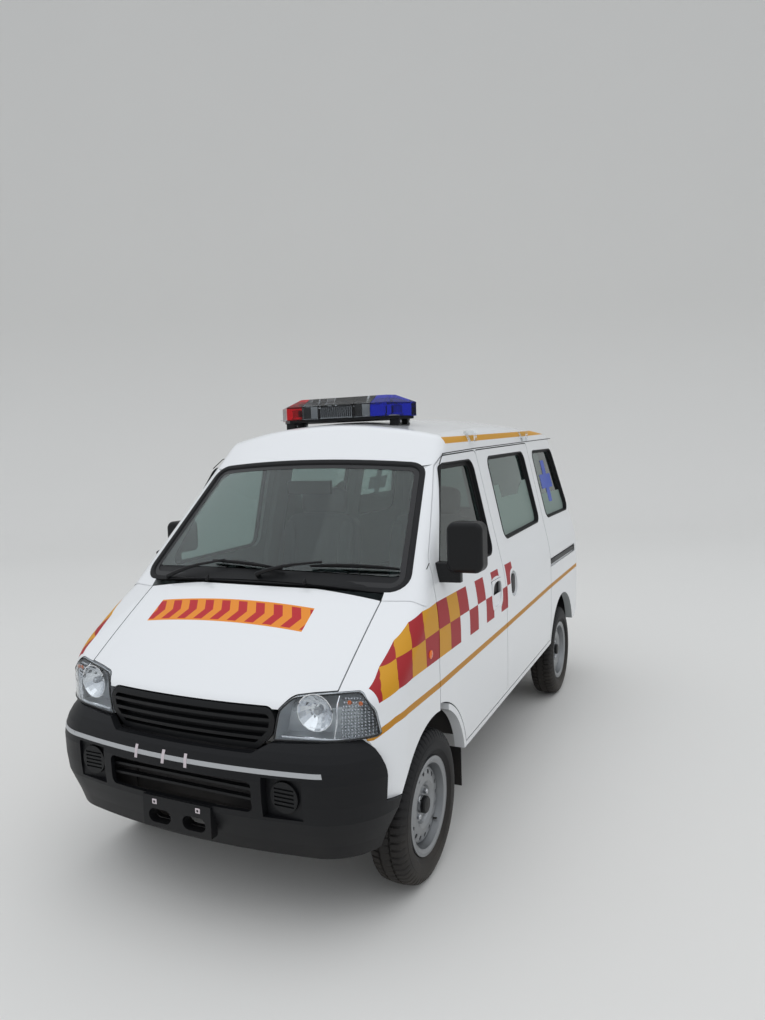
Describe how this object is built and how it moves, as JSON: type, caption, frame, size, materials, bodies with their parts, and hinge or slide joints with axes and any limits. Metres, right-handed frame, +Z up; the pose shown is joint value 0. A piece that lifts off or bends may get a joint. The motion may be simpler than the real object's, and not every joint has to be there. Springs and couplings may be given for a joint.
{
  "type": "small van ambulance",
  "caption": "Small white van ambulance with a light bar, hinged cab doors, bonnet, tailgate and steered front wheels.",
  "frame": {"origin": "on the ground, under the middle of the whole outline; one mirror stands out and the other is folded, so this is 50 mm to the left of the middle plane", "axes": "+X to the vehicle's left, +Y to its rear, +Z up"},
  "size_m": [1.672, 3.624, 1.9199],
  "materials": {
    "white_paint": "glossy white paint",
    "black_plastic": "grained black",
    "dash_plastic": "dark grained",
    "clear_glass": "clear",
    "lamp_chrome": "bright",
    "red_lens": "clear red",
    "clear_lens": "clear over a dark inside",
    "blue_lens": "clear blue",
    "tyre": "black rubber",
    "rim_steel": "silver paint",
    "dark_steel": "dark",
    "seat_fabric": "woven",
    "frame_steel": "satin"
  },
  "bodies": {
    "body": {"attendant_bench": "seat_fabric", "body_side_left": "white_paint", "body_side_right": "white_paint", "bulkhead_and_pillars": "white_paint", "bumper_inserts": "black_plastic", "cowl_panel": "black_plastic", "dashboard": "dash_plastic", "engine": "dark_steel", "exhaust": "dark_steel", "floor_pan": "white_paint", "front_bumper": "black_plastic", "front_fender_left": "white_paint", "front_fender_right": "white_paint", "front_frame": "dark_steel", "front_seats": "seat_fabric", "front_suspension": "dark_steel", "fuel_tank": "dark_steel", "grille": "black_plastic", "headlamp_housings": "lamp_chrome", "headlamp_lenses": "clear_glass", "inner_mirror": "black_plastic", "light_bar_base": "black_plastic", "light_bar_blue": "blue_lens", "light_bar_clear": "clear_lens", "light_bar_red": "red_lens", "mud_flaps": "black_plastic", "rear_axle": "dark_steel", "rear_bumper": "black_plastic", "roof_panel": "white_paint", "roof_side_lamps": "lamp_chrome", "side_windows": "clear_glass", "sliding_door_fittings": "black_plastic", "sliding_door_left": "white_paint", "sliding_door_right": "white_paint", "stretcher_frame": "frame_steel", "stretcher_mattress": "seat_fabric", "tail_lamps": "red_lens", "wheel_houses": "white_paint", "windscreen": "clear_glass", "wipers": "black_plastic"},
    "front_door_left": {"front_door_left": "white_paint", "front_door_glass_left": "clear_glass", "door_fittings_left": "black_plastic"},
    "front_door_right": {"front_door_right": "white_paint", "front_door_glass_right": "clear_glass", "door_fittings_right": "black_plastic"},
    "bonnet": {"bonnet": "white_paint"},
    "tailgate": {"tailgate": "white_paint", "tailgate_glass": "clear_glass"},
    "knuckle_left": {"knuckle_left": "dark_steel"},
    "knuckle_right": {"knuckle_right": "dark_steel"},
    "wheel_front_left": {"tyre_front_left": "tyre", "rim_front_left": "rim_steel"},
    "wheel_front_right": {"tyre_front_right": "tyre", "rim_front_right": "rim_steel"},
    "wheel_rear_left": {"tyre_rear_left": "tyre", "rim_rear_left": "rim_steel"},
    "wheel_rear_right": {"tyre_rear_right": "tyre", "rim_rear_right": "rim_steel"},
    "steering_wheel": {"steering_wheel": "black_plastic"}
  },
  "joints": [
    {"name": "front_door_left_hinge", "type": "hinge", "parent": "body", "child": "front_door_left", "pos_m": [0.695, -1.1365, 0.9], "axis": [0, 0, -1], "range_deg": [0, 65]},
    {"name": "front_door_right_hinge", "type": "hinge", "parent": "body", "child": "front_door_right", "pos_m": [-0.795, -1.1365, 0.9], "axis": [0, 0, 1], "range_deg": [0, 65]},
    {"name": "bonnet_hinge", "type": "hinge", "parent": "body", "child": "bonnet", "pos_m": [-0.05, -1.267, 1.129], "axis": [-1, 0, 0], "range_deg": [0, 60]},
    {"name": "tailgate_hinge", "type": "hinge", "parent": "body", "child": "tailgate", "pos_m": [-0.05, 1.581, 1.703], "axis": [1, 0, 0], "range_deg": [0, 85]},
    {"name": "steer_left", "type": "hinge", "parent": "body", "child": "knuckle_left", "pos_m": [0.485, -1.1975, 0.289], "axis": [0, 0, 1], "range_deg": [-33, 33]},
    {"name": "steer_right", "type": "hinge", "parent": "body", "child": "knuckle_right", "pos_m": [-0.585, -1.1975, 0.289], "axis": [0, 0, 1], "range_deg": [-33, 33]},
    {"name": "steering_wheel_turn", "type": "hinge", "parent": "body", "child": "steering_wheel", "pos_m": [-0.39, -0.812, 1.01], "axis": [0, 0.7779, 0.6283], "range_deg": [-528, 528]},
    {"name": "wheel_front_left_spin", "type": "hinge", "parent": "knuckle_left", "child": "wheel_front_left", "pos_m": [0.595, -1.1975, 0.289], "axis": [1, 0, 0], "continuous": true},
    {"name": "wheel_front_right_spin", "type": "hinge", "parent": "knuckle_right", "child": "wheel_front_right", "pos_m": [-0.695, -1.1975, 0.289], "axis": [1, 0, 0], "continuous": true},
    {"name": "wheel_rear_left_spin", "type": "hinge", "parent": "body", "child": "wheel_rear_left", "pos_m": [0.59, 1.1525, 0.289], "axis": [1, 0, 0], "continuous": true},
    {"name": "wheel_rear_right_spin", "type": "hinge", "parent": "body", "child": "wheel_rear_right", "pos_m": [-0.69, 1.1525, 0.289], "axis": [1, 0, 0], "continuous": true}
  ],
  "couplings": [
    {"joint": "steer_right", "follows": "steer_left", "ratio": 1},
    {"joint": "steering_wheel_turn", "follows": "steer_left", "ratio": 16}
  ]
}
